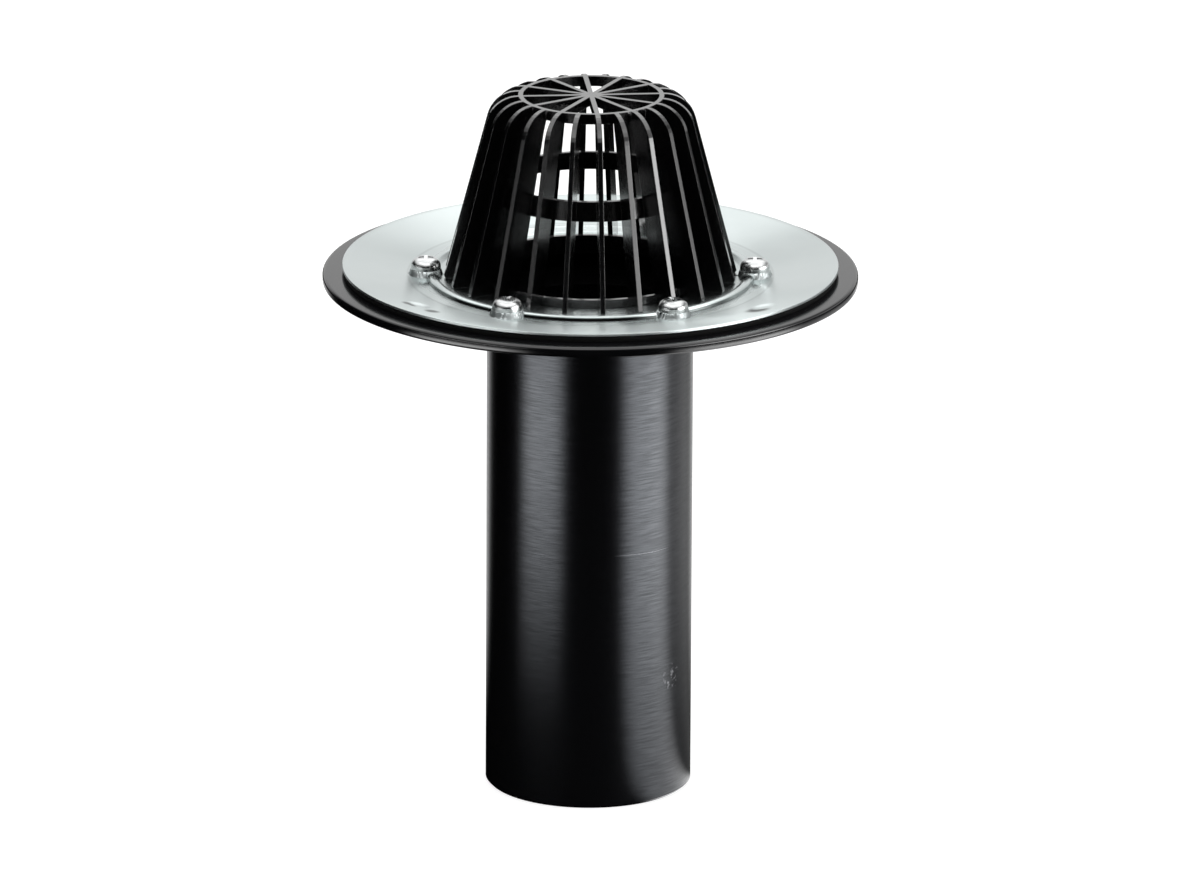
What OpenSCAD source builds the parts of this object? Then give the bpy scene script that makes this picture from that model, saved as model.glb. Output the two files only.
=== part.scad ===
// Flat roof drain: a flanged plastic body welded to its outlet pipe, a rubber gasket,
// a pressed steel clamp ring held by pan-head screws, and a lift-out leaf guard.
// Millimetres. Z = 0 is the cut end of the outlet pipe and +Z is up.

/* [Outlet pipe] */
// Outside diameter of the outlet pipe
pipe_od = 110; // [90:1:116]
// Wall of the outlet pipe
pipe_wall = 4.2; // [3:0.1:8]
// Length of the pipe, from its cut end to the weld
pipe_len = 257; // [120:1:600]
// Chamfer on the outer edge of the cut end
pipe_chamfer = 1.5; // [0.2:0.1:2.5]
// Height of the weld bead on each side of the weld
weld_bead = 3.2; // [2:0.1:5]

/* [Flange body] */
// Outside diameter of the flange
flange_od = 285; // [276:1:400]
// Thickness of the flange plate
flange_t = 5.5; // [4:0.1:9]
// Rounding of the flange rim
rim_round = 1.8; // [0.5:0.1:1.9]
// Height from the weld to the top face of the flange
body_h = 26; // [24:1:60]
// Wall of the bowl under the flange
body_wall = 5; // [3.5:0.1:7]
// Straight neck between the weld and the bowl
neck_h = 4; // [2:0.5:6]
// Clearance between a boss and the slope of the pad that lies on it, on the radius
boss_gap = 0.2; // [0.1:0.1:0.4]
// Closed floor of each boss, under the screw hole
boss_floor = 1.5; // [1:0.1:3]

/* [Gasket] */
// Thickness of the gasket
gasket_t = 4.5; // [2:0.1:6]
// How far the gasket stays inside the rim of the clamp ring
gasket_inset = 0.6; // [0:0.1:3]

/* [Clamp ring] */
// Outside diameter of the clamp ring
ring_od = 264; // [256:1:268]
// Thickness of the sheet
ring_t = 1.5; // [1:0.1:2]
// Diameter of the hole in the middle of the ring
ring_hole_d = 127; // [122:1:132]
// Radius at which the level rim starts to slope down
slope_r = 103; // [101:0.5:108]
// Radius of the edge of the step down to the seat
step_r = 91; // [90:0.5:92]
// Width of that step
step_w = 1.6; // [1.2:0.1:4]
// Drop from the clamped band to the seat of the leaf guard
seat_drop = 3.5; // [2.5:0.1:4.5]
// Radius of the bends that stand up, on the top face
bend_out_r = 2; // [2:0.1:2.5]
// Radius of the bends that lie down, on the top face
bend_in_r = 0.8; // [0.5:0.1:2]
// Diameter of the raised pad under each screw head
pad_d = 17.2; // [17:0.1:18]
// Width of the slope round each pad
pad_skirt_w = 1.7; // [1.5:0.1:2]
// Length of the two locating marks pressed in the rim
mark_len = 13; // [6:0.5:16]
// Depth of the marks
mark_depth = 0.8; // [0.3:0.1:1]
// Radius on which the marks lie
mark_r = 121; // [112:1:123]
// Angle of each mark from the front of the drain
mark_angle = 48; // [20:1:80]

/* [Screws] */
// Number of screws round the ring
screw_count = 6; // [6:6:6]
// Pitch circle of the screws
screw_pcd = 175; // [174:0.5:176]
// Thread diameter of the screws
screw_d = 8; // [6:0.5:8]
// Length of the screws under the head
screw_len = 16; // [15:1:25]
// Diameter of the pan head
head_d = 16; // [14:0.5:16]
// Height of the pan head
head_h = 6; // [4:0.1:7]
// Width across the cross recess
recess_w = 8.4; // [6:0.1:10]
// Width of one slot of the cross recess
recess_slot = 1.8; // [1:0.1:2.5]
// Depth of the cross recess
recess_depth = 3.6; // [2:0.1:4]
// Clearance between a screw and the hole in the ring, on the radius
screw_hole_gap = 0.5; // [0.2:0.1:1]

/* [Threaded inserts] */
// Diameter of the two knurled collars
insert_d = 11.6; // [10.5:0.1:12]
// Diameter of the waist between the collars
insert_waist_d = 10.2; // [10:0.1:10.4]
// Length of an insert
insert_len = 12.5; // [9:0.5:13]
// Clearance between screw and insert, on the radius
thread_gap = 0.05; // [0.02:0.01:0.1]
// Clearance between insert and boss, on the radius
insert_gap = 0.02; // [0.01:0.01:0.05]

/* [Leaf guard] */
// Height of the guard above its seat
guard_h = 99.5; // [80:0.5:125]
// Diameter over the feet of the fins
guard_base_d = 156.6; // [150:0.2:158]
// Lean of the fins from the vertical, in degrees
fin_lean = 14.7; // [8:0.1:18]
// Number of fins; every second one runs on as a spoke
fin_count = 24; // [16:4:28]
// Angle of the first fin
fin_start = 5; // [0:1:14]
// Thickness of a fin
fin_t = 2.6; // [2:0.1:3.5]
// Radius of the rounded shoulder
shoulder_r = 17.5; // [8:0.5:22]
// Depth of the fins at the shoulder, towards the axis
fin_depth = 13.3; // [9:0.1:18]
// How far the fins run into the walls of the hoops
fin_bite = 0.5; // [0.3:0.1:1.5]
// Chamfer at the foot of each fin
foot_chamfer = 1.2; // [0.5:0.1:3]
// Wall of the three hoops
hoop_t = 2.5; // [2:0.1:4]
// Height of the top hoop
top_hoop_h = 5.5; // [4:0.5:12]
// Height of the middle hoop
mid_hoop_h = 10.2; // [5:0.1:16]
// Height of the bottom of the middle hoop above the seat
mid_hoop_z = 44.3; // [25:0.1:55]
// Height of the base collar above the seat
collar_up = 4.4; // [3:0.1:10]
// Depth to which the base collar reaches below the seat
collar_down = 5.5; // [3:0.1:7]
// Clearance between the collar and the hole of the ring, on the radius
collar_gap = 0.9; // [0.3:0.1:2]
// Depth of the spokes
spoke_h = 5; // [3:0.5:10]
// Diameter of the hub where the spokes meet
hub_d = 10.4; // [8:0.2:20]

/* [Hidden] */
$fn = 96;
eps = 0.01;
bend_fn = 40;                         // segments in a full turn of a bend
over = 20;                            // how far a pressing outline runs past its cut edges

pipe_r = pipe_od / 2;
bore_r = pipe_r - pipe_wall;

// Levels, from the weld up
z_flange = pipe_len + body_h;         // top face of the flange
z_rim = z_flange + gasket_t + ring_t; // top face of the ring's rim
z_pad = z_flange + ring_t;            // clamped band and screw pads, on the flange
z_seat = z_pad - seat_drop;           // seat of the leaf guard
z_top = z_seat + guard_h;

// Bosses, which are a little deeper than the screws reach
tip_gap = 1;
screw_hole_h = screw_len - ring_t + tip_gap;
boss_h = screw_hole_h + boss_floor;
pad_lean = atan(pad_skirt_w / seat_drop);
boss_r = pad_d / 2 + ring_t * tan(pad_lean) - ring_t / cos(pad_lean) - boss_gap;

// Bowl, which clears the pressed seat of the ring
bowl_gap = 1.5;
bowl_r = step_r + bowl_gap;
z_bowl = z_flange - seat_drop - ring_t - 2 * bowl_gap;

// Clamp ring
slope_w = gasket_t;                   // the rim slopes down at 45 degrees
ring_r = ring_od / 2;
ring_hole_r = ring_hole_d / 2;
pad_r = pad_d / 2;
mark_tool_r = 9;                      // nose of the tool that presses a mark
gasket_in_r = slope_r + 1;

// Leaf guard
guard_r = guard_base_d / 2;
z_shoulder = z_top - shoulder_r;
top_r = guard_r - (z_shoulder - z_seat) * tan(fin_lean) - shoulder_r / cos(fin_lean);
collar_r = ring_hole_r - collar_gap;
fin_base_in = collar_r - fin_bite;
fin_top_in = top_r - fin_bite;
fin_shoulder_in = max(top_r + shoulder_r * cos(fin_lean) - fin_depth, fin_top_in);
z_top_hoop = z_top - top_hoop_h;
shoulder_steps = 10;

black = [0.03, 0.03, 0.035];
rubber_black = [0.06, 0.06, 0.06];
steel = [0.78, 0.80, 0.79];
brass = [0.78, 0.62, 0.30];

// Inner radius of the fins at a height under the shoulder
function fin_in(z) =
    fin_base_in + (fin_shoulder_in - fin_base_in) * (z - z_seat) / (z_shoulder - z_seat);

module at_screw(i) rotate(i * 360 / screw_count) translate([screw_pcd / 2, 0, 0]) children();

module each_screw() for (i = [0:screw_count - 1]) at_screw(i) children();

// Half round bead, as a butt weld squeezes out, centred on the given level
module weld_half(z, up) intersection() {
    translate([0, 0, z - (up ? 0 : weld_bead)])
        difference() {
            cylinder(r = pipe_r + weld_bead, h = weld_bead);
            translate([0, 0, -eps]) cylinder(r = bore_r + eps, h = weld_bead + 2 * eps);
        }
    translate([0, 0, z + (up ? 1 : -1) * weld_bead / 2])
        rotate_extrude() translate([pipe_r - weld_bead / 6, 0]) circle(r = weld_bead / 2);
}

module outlet_pipe() color(black) {
    rotate_extrude() polygon([
        [bore_r, 0],
        [pipe_r - pipe_chamfer, 0],
        [pipe_r, pipe_chamfer],
        [pipe_r, pipe_len],
        [bore_r, pipe_len]
    ]);
    weld_half(pipe_len, false);
}

// Plate with a rounded rim, as a half section
module plate_section() offset(r = rim_round, $fn = bend_fn) offset(delta = -rim_round)
    translate([bowl_r + rim_round, z_flange - flange_t])
        square([flange_od / 2 - bowl_r - rim_round, flange_t]);

// Bowl and neck, as a half section
module bowl_section() polygon([
    [bore_r, pipe_len],
    [pipe_r, pipe_len],
    [pipe_r, pipe_len + neck_h - pipe_wall / 2],
    [bowl_r + body_wall, z_bowl - body_wall],
    [bowl_r + body_wall, z_flange - flange_t / 2],
    [bowl_r + 2 * rim_round, z_flange],
    [bowl_r, z_flange],
    [bowl_r, z_bowl],
    [bore_r, pipe_len + neck_h]
]);

// Outside of an insert: two collars and a waist
module insert_shape(grow) {
    collar_h = insert_len / 3;
    translate([0, 0, -insert_len])
        cylinder(r = insert_waist_d / 2 + grow, h = insert_len);
    for (z = [-insert_len, -collar_h])
        translate([0, 0, z]) cylinder(r = insert_d / 2 + grow, h = collar_h);
}

module flange_body() color(black) difference() {
    union() {
        rotate_extrude() union() {
            plate_section();
            bowl_section();
        }
        weld_half(pipe_len, true);
        each_screw() translate([0, 0, z_flange - boss_h]) cylinder(r = boss_r, h = boss_h);
    }
    each_screw() translate([0, 0, z_flange]) {
        insert_shape(insert_gap);
        translate([0, 0, -screw_hole_h]) cylinder(r = screw_d / 2 + tip_gap / 2, h = screw_hole_h);
    }
}

module sealing_gasket() color(rubber_black)
    translate([0, 0, z_flange]) difference() {
        cylinder(r = ring_r - gasket_inset, h = gasket_t);
        translate([0, 0, -eps]) cylinder(r = gasket_in_r, h = gasket_t + 2 * eps);
    }

// Section under the top face of the ring, with its bends, from the axis of the drain
module ring_section(low)
    offset(r = bend_out_r) offset(r = -bend_out_r - bend_in_r) offset(r = bend_in_r)
    polygon([
        [ring_hole_r - over, low],
        [ring_r + over, low],
        [ring_r + over, z_rim],
        [slope_r, z_rim],
        [slope_r - slope_w, z_pad],
        [step_r, z_pad],
        [step_r - step_w, z_seat],
        [ring_hole_r - over, z_seat]
    ]);

// Section under the top face of a screw pad, from the axis of the screw
module pad_section(low) offset(r = bend_out_r / 2) offset(r = -bend_out_r / 2)
    polygon([
        [0, low],
        [pad_r + pad_skirt_w, low],
        [pad_r + pad_skirt_w, z_seat],
        [pad_r, z_pad],
        [0, z_pad]
    ]);

// Solid under a face of the pressing, which lies the given depth under its top face
module under_face(depth) {
    low = z_seat - over / 2 - depth;
    rotate_extrude() offset(r = -depth, $fn = bend_fn) ring_section(low, $fn = bend_fn);
    each_screw() rotate_extrude() offset(delta = -depth) pad_section(low, $fn = bend_fn);
}

// Capsule that presses a shallow long mark in the rim
module mark_tool() rotate([90, 0, 0]) {
    reach = mark_len / 2 - sqrt(pow(mark_tool_r, 2) - pow(mark_tool_r - mark_depth, 2));
    translate([0, 0, -reach]) cylinder(r = mark_tool_r, h = 2 * reach);
    for (s = [-1, 1]) translate([0, 0, s * reach]) sphere(r = mark_tool_r);
}

module clamp_ring() color(steel) difference() {
    intersection() {
        under_face(0);
        translate([0, 0, z_seat - ring_t - 1]) difference() {
            cylinder(r = ring_r, h = z_rim);
            translate([0, 0, -1]) cylinder(r = ring_hole_r, h = z_rim + 2);
        }
    }
    under_face(ring_t);
    each_screw() cylinder(r = screw_d / 2 + screw_hole_gap, h = z_rim + 1);
    for (s = [-1, 1])
        rotate(-90 + s * mark_angle)
            translate([mark_r, 0, z_rim + mark_tool_r - mark_depth]) mark_tool();
}

// One fin seen from the side: foot, outer cone, shoulder, top hoop, elbow and inner cone
module fin() rotate([90, 0, 0]) linear_extrude(fin_t, center = true) polygon(concat(
    [[guard_r - foot_chamfer, z_seat], [guard_r - foot_chamfer * tan(fin_lean), z_seat + foot_chamfer]],
    [for (k = [0:shoulder_steps])
        let (a = fin_lean + k * (90 - fin_lean) / shoulder_steps)
        [top_r + shoulder_r * cos(a), z_shoulder + shoulder_r * sin(a)]],
    [[fin_top_in, z_top], [fin_top_in, z_top_hoop]],
    [[fin_shoulder_in, z_shoulder], [fin_base_in, z_seat]]
));

// Hoop behind the inner edges of the fins, between two heights
module hoop(z0, z1) rotate_extrude() polygon([
    [fin_in(z0) + fin_bite - hoop_t, z0],
    [fin_in(z0) + fin_bite, z0],
    [fin_in(z1) + fin_bite, z1],
    [fin_in(z1) + fin_bite - hoop_t, z1]
]);

module leaf_guard() color(black) union() {
    for (i = [0:fin_count - 1]) rotate(fin_start + i * 360 / fin_count) fin();
    for (i = [0:fin_count / 4 - 1])
        rotate(fin_start + i * 720 / fin_count)
            translate([-top_r + hoop_t / 2, -fin_t / 2, z_top - spoke_h])
                cube([2 * top_r - hoop_t, fin_t, spoke_h]);
    translate([0, 0, z_top - spoke_h]) cylinder(d = hub_d, h = spoke_h);
    rotate_extrude() translate([top_r - hoop_t, z_top_hoop]) square([hoop_t, top_hoop_h]);
    hoop(z_seat + mid_hoop_z, z_seat + mid_hoop_z + mid_hoop_h);
    rotate_extrude() translate([collar_r - hoop_t, z_seat - collar_down])
        square([hoop_t, collar_up + collar_down]);
}

// Domed pan head: a rounded profile between a circle and a square
module head_section() {
    power = 0.72;
    steps = 14;
    polygon(concat([[0, 0]], [for (k = [0:steps])
        let (a = k * 90 / steps)
        [head_d / 2 * pow(cos(a), power), head_h * pow(sin(a), power)]]));
}

module cross_recess() intersection() {
    translate([0, 0, head_h - recess_depth])
        cylinder(d1 = recess_w / 3, d2 = recess_w, h = recess_depth + eps);
    for (a = [0, 90]) rotate(a)
        translate([-recess_w / 2, -recess_slot / 2, 0]) cube([recess_w, recess_slot, head_h + 1]);
}

module clamp_screw(i) color(steel) at_screw(i) translate([0, 0, z_pad]) {
    tip = screw_d / 8;
    shank_r = screw_d / 2;
    difference() {
        rotate_extrude() head_section();
        cross_recess();
    }
    translate([0, 0, -screw_len + tip]) cylinder(r = shank_r, h = screw_len - tip);
    translate([0, 0, -screw_len]) cylinder(r1 = shank_r - tip, r2 = shank_r, h = tip);
}

module threaded_insert(i) color(brass) at_screw(i) translate([0, 0, z_flange]) difference() {
    insert_shape(0);
    translate([0, 0, -insert_len - 1])
        cylinder(r = screw_d / 2 + thread_gap, h = insert_len + 2);
}

outlet_pipe();
flange_body();
sealing_gasket();
clamp_ring();
leaf_guard();
clamp_screw(0);  // clamp_screw_1
clamp_screw(1);  // clamp_screw_2
clamp_screw(2);  // clamp_screw_3
clamp_screw(3);  // clamp_screw_4
clamp_screw(4);  // clamp_screw_5
clamp_screw(5);  // clamp_screw_6
threaded_insert(0);  // threaded_insert_1
threaded_insert(1);  // threaded_insert_2
threaded_insert(2);  // threaded_insert_3
threaded_insert(3);  // threaded_insert_4
threaded_insert(4);  // threaded_insert_5
threaded_insert(5);  // threaded_insert_6
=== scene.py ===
import math

import bmesh
import bpy
from mathutils import Matrix, Vector


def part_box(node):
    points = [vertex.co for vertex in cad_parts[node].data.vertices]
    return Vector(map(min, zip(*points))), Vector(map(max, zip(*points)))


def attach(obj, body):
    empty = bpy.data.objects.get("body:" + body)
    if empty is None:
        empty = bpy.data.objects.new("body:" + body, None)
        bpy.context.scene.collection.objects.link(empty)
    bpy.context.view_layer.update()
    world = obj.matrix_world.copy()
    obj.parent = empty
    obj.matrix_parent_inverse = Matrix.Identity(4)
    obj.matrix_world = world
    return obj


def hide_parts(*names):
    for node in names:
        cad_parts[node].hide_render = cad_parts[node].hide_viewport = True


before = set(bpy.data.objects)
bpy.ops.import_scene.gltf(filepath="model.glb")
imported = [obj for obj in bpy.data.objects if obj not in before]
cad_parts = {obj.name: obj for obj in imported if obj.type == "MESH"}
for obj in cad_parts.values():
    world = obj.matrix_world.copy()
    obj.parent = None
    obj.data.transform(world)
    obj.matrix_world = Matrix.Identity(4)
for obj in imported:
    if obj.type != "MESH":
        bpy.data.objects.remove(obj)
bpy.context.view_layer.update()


# --- Camera -----------------------------------------------------------------
# A long lens stands seven and a half metres in front of the drain and looks
# a little down on it, with its aim at the drain's own mid height.
scene = bpy.context.scene
scene.view_settings.view_transform = "Standard"

lens_data = bpy.data.cameras.new("long_lens")
lens_data.sensor_width = 36.0
lens_data.lens = 446.0
lens_data.clip_end = 60.0
camera = bpy.data.objects.new("camera", lens_data)
scene.collection.objects.link(camera)
scene.camera = camera

camera_place = Vector((0.0, -7.463, 2.484))
camera_aim = Vector((0.0005, 0.0, 0.1885))
camera_roll = math.radians(0.28)


def facing(place, aim):
    """Stands at a place and looks at the aim."""
    turn = (aim - place).to_track_quat("-Z", "Y").to_matrix().to_4x4()
    return Matrix.Translation(place) @ turn


camera.matrix_world = facing(camera_place, camera_aim) @ Matrix.Rotation(camera_roll, 4, "Z")


# --- Outlet pipe ------------------------------------------------------------
# A length of black polyethylene drain pipe, sawn off square at its free end
# and butt welded to the drain body. Its skin is satin, with faint turned
# rings, a short scratch across its front and a scuff from handling.
pipe_black = (0.0025, 0.0025, 0.003)
worn_grey = (0.16, 0.16, 0.17)
cool_sheen = (0.88, 0.93, 1.0, 1.0)
scratch_height = 0.1425
scratch_waver = 0.004
deep_scratch = (0.030, -0.0461, scratch_height)
faint_scratch = (-0.0255, -0.0487, scratch_height)
scuff = (0.044, -0.0325, 0.067)


class Nodes:
    """A node tree under construction. Values are sockets or plain numbers."""

    def __init__(self, tree, place):
        self.tree = tree
        self.place = place

    def feed(self, node, inputs):
        for name, value in inputs.items():
            if isinstance(value, bpy.types.NodeSocket):
                self.tree.links.new(value, node.inputs[name])
            else:
                node.inputs[name].default_value = value

    def add(self, kind, inputs, **settings):
        node = self.tree.nodes.new(kind)
        for name, value in settings.items():
            setattr(node, name, value)
        self.feed(node, inputs)
        return node

    def remap(self, value, low, high, to_low=0.0, to_high=1.0, smooth=False):
        """value's stretch from low to high becomes to_low to to_high."""
        stretch = {
            "Value": value,
            "From Min": low,
            "From Max": high,
            "To Min": to_low,
            "To Max": to_high,
        }
        curve = "SMOOTHSTEP" if smooth else "LINEAR"
        ramp = self.add("ShaderNodeMapRange", stretch, interpolation_type=curve)
        return ramp.outputs["Result"]

    def combine(self, operation, *values):
        node = self.add("ShaderNodeMath", dict(enumerate(values)), operation=operation)
        return node.outputs["Value"]

    def product(self, first, *others):
        for other in others:
            first = self.combine("MULTIPLY", first, other)
        return first

    def off(self, value, level):
        """How far value is from a level, to either side."""
        return self.combine("ABSOLUTE", self.combine("SUBTRACT", value, level))

    def vector(self, operation, *values):
        return self.add("ShaderNodeVectorMath", dict(enumerate(values)), operation=operation)

    def flat(self):
        """The place, brought down to the level of the origin."""
        return self.vector("MULTIPLY", self.place, (1.0, 1.0, 0.0)).outputs["Vector"]

    def radius(self):
        """Distance from the Z axis."""
        return self.vector("LENGTH", self.flat()).outputs["Value"]

    def along(self, axis):
        """Distance from the origin along X, Y or Z."""
        return self.add("ShaderNodeSeparateXYZ", {"Vector": self.place}).outputs[axis]

    def near(self, point, full, none):
        """1 within the distance full of a point, and 0 beyond the distance none."""
        away = self.vector("DISTANCE", self.place, point).outputs["Value"]
        return self.remap(away, full, none, 1.0, 0.0, smooth=True)

    def noise(self, scale, stretch=(1.0, 1.0, 1.0), detail=3.0):
        """Noise whose features are stretched along each axis."""
        mapping = self.add("ShaderNodeMapping", {"Vector": self.place, "Scale": stretch})
        pattern = {"Vector": mapping.outputs["Vector"], "Scale": scale, "Detail": detail}
        return self.add("ShaderNodeTexNoise", pattern).outputs["Fac"]


class Finish(Nodes):
    """A material under construction, with its Principled shader ready."""

    def __init__(self, name, colour, metallic=0.0, specular=0.5):
        self.material = bpy.data.materials.new(name)
        self.material.use_nodes = True
        tree = self.material.node_tree
        super().__init__(tree, tree.nodes.new("ShaderNodeTexCoord").outputs["Object"])
        self.shader = tree.nodes["Principled BSDF"]
        self.colour = (*colour, 1.0)
        self.set("Base Color", self.colour)
        self.set("Metallic", metallic)
        self.set("Specular IOR Level", specular)

    def set(self, name, value):
        self.feed(self.shader, {name: value})

    def tint(self, amount, colour):
        """The finish's own colour gives way to another with amount."""
        ends = {"A": self.colour, "B": (*colour, 1.0), "Factor": amount}
        mix = self.add("ShaderNodeMix", ends, data_type="RGBA")
        self.set("Base Color", mix.outputs["Result"])

    def turned(self, anisotropy):
        """Grain that runs round the Z axis, so highlights spread along radii."""
        around = self.add("ShaderNodeTangent", {}, direction_type="RADIAL", axis="Z")
        self.set("Tangent", around.outputs["Tangent"])
        self.set("Anisotropic", anisotropy)
        self.set("Anisotropic Rotation", 0.25)

    def bump(self, height, depth, edge_radius=0.0):
        """Raises the surface by up to depth metres where height is 1."""
        bump = self.add("ShaderNodeBump", {"Height": height, "Distance": depth})
        if edge_radius:
            rounded = self.add("ShaderNodeBevel", {"Radius": edge_radius}, samples=6)
            self.feed(bump, {"Normal": rounded.outputs["Normal"]})
        self.set("Normal", bump.outputs["Normal"])


def merged_copy(mesh):
    """A CAD mesh as a solid of its own, with the seams in it closed."""
    solid = bmesh.new()
    solid.from_mesh(mesh)
    bmesh.ops.remove_doubles(solid, verts=solid.verts[:], dist=0.000001)
    return solid


def piece_from(solid, name, node, sharp=40):
    """Stores the solid as a piece that takes a CAD node's place."""
    bmesh.ops.recalc_face_normals(solid, faces=solid.faces[:])
    for face in solid.faces:
        face.smooth = True
    mesh = bpy.data.meshes.new(name)
    solid.to_mesh(mesh)
    solid.free()
    if mesh.has_custom_normals:
        mesh.attributes.remove(mesh.attributes["custom_normal"])
    mesh.set_sharp_from_angle(angle=math.radians(sharp))
    piece = bpy.data.objects.new(name, mesh)
    scene.collection.objects.link(piece)
    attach(piece, "root")
    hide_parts(node)
    return mesh


pipe_finish = Finish("black_pipe_skin", pipe_black)
turned_rings = pipe_finish.noise(1.0, stretch=(60.0, 60.0, 1700.0))
skin_grain = pipe_finish.noise(900.0, detail=2.0)
streaks = pipe_finish.noise(1.0, stretch=(80.0, 80.0, 1900.0))
pipe_finish.set("Roughness", pipe_finish.remap(turned_rings, 0.3, 0.7, 0.2, 0.25))
pipe_finish.set("Specular IOR Level", pipe_finish.remap(streaks, 0.35, 0.65, 0.38, 0.64))
pipe_finish.set("Specular Tint", cool_sheen)

waver = pipe_finish.product(pipe_finish.noise(14.0, detail=2.0), scratch_waver)
scratch_level = pipe_finish.combine("ADD", pipe_finish.along("Z"), waver)
from_scratch = pipe_finish.off(scratch_level, scratch_height)
scratch_line = pipe_finish.remap(from_scratch, 0.0001, 0.0004, 1.0, 0.0)
deep_part = pipe_finish.near(deep_scratch, 0.008, 0.019)
faint_part = pipe_finish.product(pipe_finish.near(faint_scratch, 0.001, 0.006), 0.5)
scratched = pipe_finish.combine("ADD", deep_part, faint_part)
scratch = pipe_finish.product(scratch_line, scratched)
specks = pipe_finish.remap(pipe_finish.noise(420.0, detail=4.0), 0.54, 0.62)
scuffed = pipe_finish.product(pipe_finish.near(scuff, 0.003, 0.009), specks)
pipe_finish.tint(pipe_finish.combine("MAXIMUM", scuffed, scratch), worn_grey)
relief = pipe_finish.combine("ADD", turned_rings, skin_grain)
pipe_finish.bump(pipe_finish.combine("SUBTRACT", relief, scratch), 0.000012)

pipe_solid = merged_copy(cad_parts["outlet_pipe"].data)
pipe_mesh = piece_from(pipe_solid, "drain_pipe", "outlet_pipe", sharp=30)
pipe_mesh.materials.append(pipe_finish.material)


# --- Clamping ring ----------------------------------------------------------
# A ring pressed from 1.5 mm stainless sheet. Its rim dishes down to a level
# trough, and a raised bead with six screw pads divides that trough from the
# seat of the leaf guard. Six screws hold it, and each front side has one dent.
ring_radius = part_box("clamp_ring")[1].x
screw_low, screw_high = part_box("clamp_screw_1")
screw_step = math.radians(60)
pitch_radius = (screw_low.x + screw_high.x) / 2
head_height = 0.006
pad_level = screw_high.z - head_height
seat_level = pad_level - 0.0035
band_level = pad_level - 0.0032
rim_level = pad_level + 0.0032

sheet = 0.0015
hole_radius = 0.0635
hole_round = 0.0004
rim_round = 0.0006
level_below = 0.09
dish_radius = 0.096
dish_bend = 0.0012
bead_foot = 0.0872
bead = [
    (0.0808, seat_level),
    (0.0836, pad_level - 0.0010),
    (0.0844, pad_level - 0.0007),
    (0.0853, pad_level - 0.0007),
    (0.0862, pad_level - 0.0008),
    (bead_foot, pad_level - 0.0014),
    (0.0876, band_level),
]
pad_radius = 0.0081
pad_skirt = 0.0011
mark_radius = 0.1145
mark_turn = math.radians(52.5)
mark_half = (0.0082, 0.0062)
mark_floor = 0.45
mark_depth = 0.0009


def ease(value, low, high):
    """Runs smoothly from 0 at low to 1 at high."""
    share = min(max((value - low) / (high - low), 0.0), 1.0)
    return share * share * (3.0 - 2.0 * share)


def dished(radius):
    """Height of the sheet's top face at a radius, without the pads and marks."""
    for (inner, low), (outer, high) in zip([(0.0, seat_level)] + bead, bead):
        if radius <= outer:
            return low + (high - low) * (radius - inner) / (outer - inner)
    along = radius - dish_radius
    slope = (rim_level - band_level) / (ring_radius - dish_radius)
    if along < dish_bend:
        along = max(along + dish_bend, 0.0) ** 2 / (4 * dish_bend)
    return band_level + slope * along


def from_screw(x, y):
    """Distance to the nearest screw's axis."""
    turn = math.atan2(y, x)
    turn -= round(turn / screw_step) * screw_step
    radius = math.hypot(x, y)
    place = (radius * math.cos(turn), radius * math.sin(turn))
    return math.dist(place, (pitch_radius, 0.0))


def pressed(x, y):
    """Height of the sheet's top face, with the screw pads and the marks."""
    radius = math.hypot(x, y)
    turn = math.atan2(y, x)
    height = dished(radius)
    pad = 1.0 - ease(from_screw(x, y), pad_radius, pad_radius + pad_skirt)
    height += (pad_level - height) * pad
    to_mark = abs(turn + math.pi / 2) - mark_turn
    across = radius * to_mark / mark_half[0]
    outward = (radius - mark_radius) / mark_half[1]
    dent = 1.0 - ease(math.hypot(across, outward), mark_floor, 1.0)
    return height - mark_depth * dent


def under(radius):
    """Height of the sheet's hidden underside, which is level below the bead."""
    return (seat_level if radius < level_below else dished(radius)) - sheet


def spaced(start, end, count):
    """Radii in equal steps from start, without the end."""
    return [start + (end - start) * step / count for step in range(count)]


def turned_solid(outline, steps):
    """Spins a closed outline of (radius, height) round Z into a smooth solid."""
    solid = bmesh.new()
    corners = [solid.verts.new((radius, 0, height)) for radius, height in outline]
    for first, second in zip(corners, corners[1:] + corners[:1]):
        solid.edges.new((first, second))
    bmesh.ops.spin(
        solid,
        geom=solid.verts[:] + solid.edges[:],
        cent=(0, 0, 0),
        axis=(0, 0, 1),
        angle=math.tau,
        steps=steps,
        use_merge=True,
    )
    bmesh.ops.remove_doubles(solid, verts=solid.verts[:], dist=0.000001)
    return solid


# The rings of vertices lie close together over the bead, the bend of the dish
# and the marks. Heights in this outline are counted from the pressed face, and
# underside marks a vertex of the hidden face.
top_radii = (
    spaced(hole_radius + hole_round, 0.078, 5)
    + spaced(0.078, 0.0836, 11)
    + [0.0836, 0.0840, 0.0844, 0.08485, 0.0853, 0.0858, 0.0862, 0.0866, 0.0869, bead_foot]
    + [0.08735, 0.08745, 0.0876, 0.0879]
    + spaced(0.0883, 0.0973, 17)
    + spaced(0.0973, 0.1085, 10)
    + spaced(0.1085, 0.1215, 22)
    + spaced(0.1215, ring_radius - rim_round, 4)
    + [ring_radius - rim_round]
)
under_radii = [ring_radius, 0.115, 0.1, dish_radius, 0.0925, 0.0895, 0.077, hole_radius]
underside = -1.0
solid = turned_solid(
    [(radius, 0.0) for radius in top_radii]
    + [(ring_radius - rim_round / 3, -rim_round / 3), (ring_radius, -rim_round)]
    + [(radius, underside) for radius in under_radii]
    + [(hole_radius, -hole_round)],
    720,
)
for vertex in solid.verts:
    x, y, drop = vertex.co
    hidden = drop < underside / 2
    vertex.co.z = under(math.hypot(x, y)) if hidden else pressed(x, y) + drop

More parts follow.
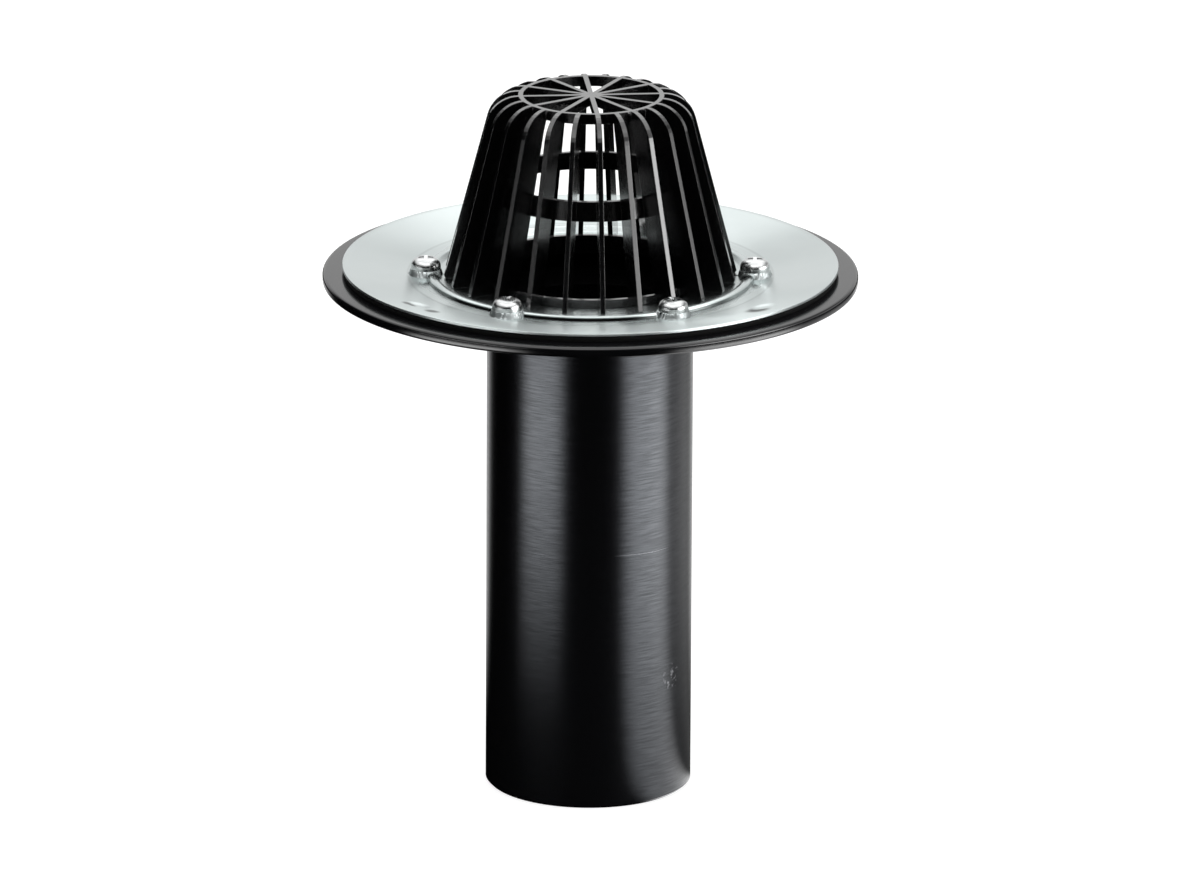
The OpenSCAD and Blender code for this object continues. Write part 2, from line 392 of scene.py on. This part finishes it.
# The steep walls of the pads outside the bead take a finish of their own: duller,
# and darker in colour as painted shade on the same steel sheet.
bead_outer = 0.0862
for face in solid.faces:
    x, y, z = face.calc_center_median()
    on_skirt = 0.0002 < from_screw(x, y) - pad_radius < pad_skirt + 0.0004
    on_wall = seat_level + 0.0001 < z < pad_level - 0.0004
    if on_skirt and on_wall and math.hypot(x, y) > bead_outer:
        face.material_index = 1
ring_mesh = piece_from(solid, "clamping_ring", "clamp_ring")

steel = (0.595, 0.645, 0.64)
shaded_wall_steel = (0.4, 0.43, 0.43)
painted_shade_black = (0.01, 0.01, 0.01)

ring_finish = Finish("satin_stainless", steel, metallic=1.0)
from_axis = ring_finish.radius()
rolled_grain = ring_finish.noise(60.0, stretch=(1.0, 30.0, 1.0), detail=4.0)
cloudy = ring_finish.remap(ring_finish.noise(28.0), 0.3, 0.7, 0.85, 1.15)
drawn_in = ring_finish.remap(from_axis, 0.0875, 0.098, 0.24, 0.33, smooth=True)
ring_finish.set("Roughness", ring_finish.product(cloudy, drawn_in))
ring_finish.bump(rolled_grain, 0.00001)
ring_finish.turned(0.92)

# Painted shade darkens the corner at the outer foot of the bead, full in front
# and fainter round the back and on the right. The dish's bend has a faint line
# of painted shade.
below_bead = ring_finish.remap(ring_finish.along("Z"), pad_level - 0.0017, pad_level - 0.0020)
outside_bead = ring_finish.combine("GREATER_THAN", from_axis, bead_foot - 0.0003)
in_corner = ring_finish.remap(from_axis, 0.0878, 0.0882, 1.0, 0.0)
left_in_front = ring_finish.remap(ring_finish.along("Y"), -0.052, -0.044, 1.0, 0.4)
left_off_right = ring_finish.remap(ring_finish.along("X"), 0.02, 0.045, 1.0, 0.75)
painted_shade = ring_finish.product(below_bead, outside_bead, in_corner, left_in_front, left_off_right)
from_bend = ring_finish.off(from_axis, dish_radius + 0.001)
bend_shade = ring_finish.remap(from_bend, 0.0003, 0.0012, 0.14, 0.0, smooth=True)
painted_shade = ring_finish.combine("MAXIMUM", painted_shade, bend_shade)

# The marks have painted shade at their outer ends, a dark spot on each. Each
# spot has its angle from the front, its strength and its size.
dent_shade_radius = 0.1178
dent_shade_spots = (
    (-54.3, 0.75, 0.005),
    (-45.0, 0.75, 0.0055),
    (48.5, 0.85, 0.0085),
)
# Each spot is painted shade on the steel.
for degrees, strength, size in dent_shade_spots:
    turn = math.radians(degrees)
    spot = (dent_shade_radius * math.sin(turn), -dent_shade_radius * math.cos(turn), pad_level)
    dent_shade = ring_finish.product(ring_finish.near(spot, size / 3, size), strength)
    painted_shade = ring_finish.combine("MAXIMUM", painted_shade, dent_shade)
# The steel's colour is darkened here by the painted shade in the bead's corner, at the bend
# and at the dents.
ring_finish.tint(painted_shade, painted_shade_black)
ring_mesh.materials.append(ring_finish.material)

# Painted shade: the pad walls are the ring's own steel, coloured darker, with a duller
# roughness.
shaded_wall_finish = Finish("dull_shaded_pad_wall", shaded_wall_steel, metallic=1.0)
shaded_wall_finish.set("Roughness", shaded_wall_finish.remap(shaded_wall_finish.noise(300.0), 0.3, 0.7, 0.33, 0.4))
ring_mesh.materials.append(shaded_wall_finish.material)


# --- Drain body -------------------------------------------------------------
# The flange with the shallow bowl and the screw bosses under it, one thick
# black polyethylene moulding whose top is turned smooth. A shallow groove in
# the flange clears the trough of the steel ring, which hides it.
body_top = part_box("flange_body")[1].z
groove_inner = 0.0910
groove_bend = 0.0960
groove_outer = 0.1170
groove_floor = under(0.0925) - 0.0001
above_body = body_top + 0.005
groove_outline = [
    (groove_inner, groove_floor),
    (groove_bend, groove_floor),
    (groove_outer, body_top + 0.0003),
    (groove_outer, above_body),
    (groove_inner, above_body),
]
solid = turned_solid(groove_outline, 360)
bmesh.ops.recalc_face_normals(solid, faces=solid.faces[:])
cutter_mesh = bpy.data.meshes.new("trough_cutter")
solid.to_mesh(cutter_mesh)
solid.free()
cutter = bpy.data.objects.new("trough_cutter", cutter_mesh)
scene.collection.objects.link(cutter)
body = bpy.data.objects.new("trough_body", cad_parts["flange_body"].data.copy())
scene.collection.objects.link(body)
cut = body.modifiers.new("trough", "BOOLEAN")
cut.operation = "DIFFERENCE"
cut.solver = "EXACT"
cut.object = cutter
bpy.context.view_layer.update()
grooved = body.evaluated_get(bpy.context.evaluated_depsgraph_get())
body_solid = merged_copy(bpy.data.meshes.new_from_object(grooved))
bpy.data.objects.remove(body)
bpy.data.objects.remove(cutter)
body_mesh = piece_from(body_solid, "drain_body", "flange_body", sharp=30)

body_finish = Finish("black_turned_flange", (0.0025, 0.0025, 0.003), specular=0.6)
turned_grain = body_finish.noise(700.0)
body_finish.set("Roughness", body_finish.remap(turned_grain, 0.3, 0.7, 0.13, 0.17))
body_finish.bump(turned_grain, 0.000002)
body_mesh.materials.append(body_finish.material)


# --- Gasket -----------------------------------------------------------------
# A ring of black synthetic rubber under the rim of the steel ring. It thins
# towards the middle, where the dished rim comes down to the flange, and its
# outer edge is dull and slightly uneven.
gasket_low, gasket_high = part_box("sealing_gasket")
gasket_inner = 0.1165
gasket_least = 0.0001
edge_bulge = 0.0004
gasket_outline = [
    (gasket_inner, gasket_low.z),
    (gasket_high.x - edge_bulge, gasket_low.z),
    (gasket_high.x, gasket_low.z + 0.001),
    (gasket_high.x, under(gasket_high.x) - 0.0008),
    (gasket_high.x - edge_bulge, under(gasket_high.x)),
    (gasket_inner, max(under(gasket_inner), gasket_low.z + gasket_least)),
]
solid = turned_solid(gasket_outline, 360)
gasket_mesh = piece_from(solid, "rubber_gasket", "sealing_gasket")

gasket_finish = Finish("black_sheet_rubber", (0.002, 0.002, 0.002), specular=0.15)
rubber_grain = gasket_finish.noise(1400.0)
gasket_finish.set("Roughness", gasket_finish.remap(rubber_grain, 0.3, 0.7, 0.68, 0.82))
gasket_finish.bump(rubber_grain, 0.00002)
gasket_mesh.materials.append(gasket_finish.material)


# --- Screws and threaded inserts --------------------------------------------
# Six stainless pan head machine screws with cross recesses go into brass
# inserts that are moulded into the bosses.
def dress(node, finish):
    """Every face of a CAD node takes the finish."""
    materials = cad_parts[node].data.materials
    materials.clear()
    materials.append(finish.material)


screw_finish = Finish("bright_stainless", (0.56, 0.57, 0.57), metallic=1.0)
head_marks = screw_finish.noise(500.0)
screw_finish.set("Roughness", screw_finish.remap(head_marks, 0.3, 0.7, 0.16, 0.3))
screw_finish.bump(head_marks, 0.00002)

insert_finish = Finish("plain_brass", (0.72, 0.5, 0.2), metallic=1.0)
lathe_marks = insert_finish.noise(800.0, detail=2.0)
insert_finish.set("Roughness", insert_finish.remap(lathe_marks, 0.3, 0.7, 0.25, 0.4))
insert_finish.bump(lathe_marks, 0.00002)

for number in range(1, 7):
    dress(f"clamp_screw_{number}", screw_finish)
    dress(f"threaded_insert_{number}", insert_finish)


# --- Leaf guard -------------------------------------------------------------
# One injection moulding in black plastic: fins, hoops and spokes in a cage
# that keeps leaves out of the pipe. It rests loose in the seat of the steel
# ring, and the mould leaves it semi-gloss.
guard_finish = Finish("black_moulded_guard", (0.001, 0.001, 0.0012), specular=0.6)
guard_finish.set("Coat IOR", 1.4)
guard_finish.set("Coat Weight", 1.0)
guard_finish.set("Coat Roughness", 0.12)
mould_grain = guard_finish.noise(600.0)
guard_finish.set("Roughness", guard_finish.remap(mould_grain, 0.3, 0.7, 0.17, 0.24))
guard_finish.bump(mould_grain, 0.00001, edge_radius=0.0005)
dress("leaf_guard", guard_finish)


# --- Floor and studio light -------------------------------------------------
# The drain stands on a plain white floor in a white room. Its surfaces mirror
# a white wall behind it and a tall soft panel on each side. A big softbox
# overhead lights the steel ring and lays the shadow under the flange.
softbox = bpy.data.lights.new("overhead", "AREA")
softbox.shape = "RECTANGLE"
softbox.size = 1.8
softbox.size_y = 1.6
softbox.energy = 9.0
overhead = bpy.data.objects.new("overhead", softbox)
overhead.matrix_world = facing(Vector((0.1, -0.15, 1.5)), Vector((0.0, 0.0, 0.28)))
overhead.visible_camera = False
scene.collection.objects.link(overhead)

# Each panel's angle from the front, the half widths in degrees at which it is
# full and gone, its strength, and the heights along a heading, where straight
# up is 1, at which its top is full and gone.
panels = {
    "left": (-53, 4, 31, 6.3, 0.0, 0.16),
    "right": (65, 5, 35, 6.6, 0.2, 0.5),
    "right_card": (105, 15, 45, 0.9, 0.2, 0.5),
    "back_wall": (180, 20, 45, 0.94, 0.6, 0.92),
}
ceiling_strength = 1.4


class Studio(Nodes):
    """How bright the studio is along each heading from the drain."""

    def __init__(self, tree, heading):
        super().__init__(tree, heading)
        self.bearing = self.vector("NORMALIZE", self.flat()).outputs["Vector"]

    def fade(self, value, low, high, to_low, to_high):
        return self.remap(value, low, high, to_low, to_high, smooth=True)

    def panel(self, azimuth, full, none, strength):
        """A tall panel, centred on an angle from the front, with soft ends."""
        angle = math.radians(azimuth)
        middle = (math.sin(angle), -math.cos(angle), 0.0)
        towards = self.vector("DOT_PRODUCT", self.bearing, middle).outputs["Value"]
        gone_at = math.cos(math.radians(none))
        full_at = math.cos(math.radians(full))
        return self.fade(towards, gone_at, full_at, 0.0, strength)


world = bpy.data.worlds.new("white_room")
scene.world = world
world.use_nodes = True
room = world.node_tree
walls = Studio(room, room.nodes.new("ShaderNodeTexCoord").outputs["Generated"])
height = walls.along("Z")
ceiling = walls.fade(height, 0.38, 0.75, 0.0, ceiling_strength)
dim_zenith = walls.fade(height, 0.86, 0.97, 1.0, 0.4)
lit = walls.product(ceiling, dim_zenith)
for azimuth, full, none, strength, top_full, top_gone in panels.values():
    panel = walls.panel(azimuth, full, none, strength)
    top = walls.fade(height, top_full, top_gone, 1.0, 0.0)
    lit = walls.combine("ADD", lit, walls.product(panel, top))
room_rays = walls.add("ShaderNodeLightPath", {})
plain_white = 1.0
shown = {"Factor": room_rays.outputs["Is Camera Ray"], "A": lit, "B": plain_white}
seen = walls.add("ShaderNodeMix", shown)
background = {"Color": (1.0, 1.0, 1.0, 1.0), "Strength": seen.outputs["Result"]}
walls.feed(room.nodes["Background"], background)

floor_half = 12.0
below_pipe = -0.0002
floor_mesh = bpy.data.meshes.new("floor")
floor_shape = bmesh.new()
bmesh.ops.create_grid(floor_shape, x_segments=1, y_segments=1, size=floor_half)
floor_shape.to_mesh(floor_mesh)
floor_shape.free()
floor = bpy.data.objects.new("floor", floor_mesh)
floor.location.z = below_pipe
scene.collection.objects.link(floor)

floor_paint = bpy.data.materials.new("white_floor")
floor_paint.use_nodes = True
paint = floor_paint.node_tree
paint.nodes.clear()
ground = Studio(paint, paint.nodes.new("ShaderNodeTexCoord").outputs["Object"])

# What the drain mirrors in the floor is brighter towards the wall and the
# panels. Each of these pools of light is near its end by one metre, and grows
# between two distances from the drain's axis, from a share of its strength.
from_drain = ground.radius()
pool_end = ground.fade(from_drain, 0.95, 1.15, 1.0, 0.0)
pool_starts = {
    "left": (0.22, 0.85, 0.0),
    "right": (0.0, 0.9, 0.3),
    "right_card": (0.0, 0.6, 0.1),
}
pool = ground.panel(*panels["back_wall"][:4])
pool = ground.product(pool, pool_end, ground.fade(from_drain, 0.08, 0.4, 0.15, 1.0))
for name, (near, far, at_foot) in pool_starts.items():
    start = ground.product(ground.fade(from_drain, near, far, at_foot, 1.0), pool_end)
    panel = ground.panel(*panels[name][:4])
    pool = ground.combine("ADD", pool, ground.product(panel, start))

floor_grey = (0.35, 0.35, 0.35, 1.0)
floor_glow = 0.8
matte = ground.add("ShaderNodeBsdfDiffuse", {"Color": floor_grey}).outputs["BSDF"]
glow = ground.add("ShaderNodeEmission", {"Strength": floor_glow}).outputs["Emission"]
glowing = ground.add("ShaderNodeAddShader", {0: matte, 1: glow}).outputs["Shader"]
mirrored = ground.add("ShaderNodeEmission", {"Strength": pool}).outputs["Emission"]
floor_rays = ground.add("ShaderNodeLightPath", {})
to_camera = {"Fac": floor_rays.outputs["Is Camera Ray"], 1: matte, 2: glowing}
plain_look = ground.add("ShaderNodeMixShader", to_camera).outputs["Shader"]
to_mirror = {"Fac": floor_rays.outputs["Is Glossy Ray"], 1: plain_look, 2: mirrored}
full_look = ground.add("ShaderNodeMixShader", to_mirror).outputs["Shader"]
ground.add("ShaderNodeOutputMaterial", {"Surface": full_look})
floor_mesh.materials.append(floor_paint)
